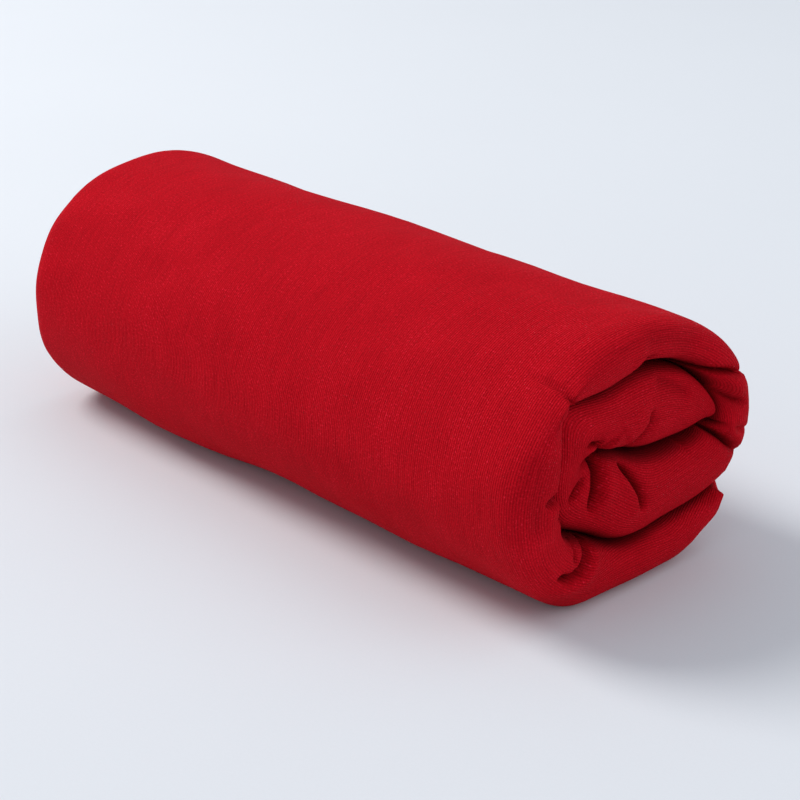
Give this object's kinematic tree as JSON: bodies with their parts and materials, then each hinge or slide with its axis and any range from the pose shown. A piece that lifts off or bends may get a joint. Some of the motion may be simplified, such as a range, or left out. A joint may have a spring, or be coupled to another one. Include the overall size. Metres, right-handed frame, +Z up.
{
  "type": "bolster pillow",
  "caption": "Roll-up bolster: a flat padded pillow in a zipped jersey cover, rolled into a soft bolster for the neck, knees or back.",
  "frame": {"origin": "on the surface that the roll rests on, under the middle of its bounding box", "axes": "+X along the roll, +Z up, +Y towards the side where the free edge and its zip lie"},
  "size_m": [0.32, 0.1376, 0.1099],
  "materials": {
    "cover_jersey": "matt cotton jersey",
    "casing_cotton": "plain-woven cotton",
    "wadding": "polyester wadding",
    "foam": "open-cell foam",
    "zip_tape": "herringbone woven tape",
    "zip_coil": "nylon coil",
    "zip_metal": "satin plated zinc",
    "stitching": "polyester thread",
    "label": "white satin"
  },
  "bodies": {
    "roll": {"jersey_cover": "cover_jersey", "pad_casing": "casing_cotton", "wadding_wrap": "wadding", "foam_core": "foam", "zip_tape_edge_side": "zip_tape", "zip_tape_pad_side": "zip_tape", "zip_coil_edge_side": "zip_coil", "zip_coil_pad_side": "zip_coil", "zip_top_stop_edge_side": "zip_metal", "zip_top_stop_pad_side": "zip_metal", "zip_bottom_stop": "zip_metal", "zip_topstitch_edge_side": "stitching", "zip_topstitch_pad_side": "stitching", "care_label": "label"},
    "zip_slider": {"zip_slider_body": "zip_metal"},
    "zip_pull": {"zip_pull_tab": "zip_metal"}
  },
  "joints": [
    {"name": "zip_slide", "type": "slide", "parent": "roll", "child": "zip_slider", "axis": [1, 0, 0], "range_m": [0, 0.244]},
    {"name": "pull_swing", "type": "hinge", "parent": "zip_slider", "child": "zip_pull", "pos_m": [-0.1222, 0.05405, 0.01376], "axis": [0, -0.7428, -0.6695], "range_deg": [-90, 90]}
  ]
}
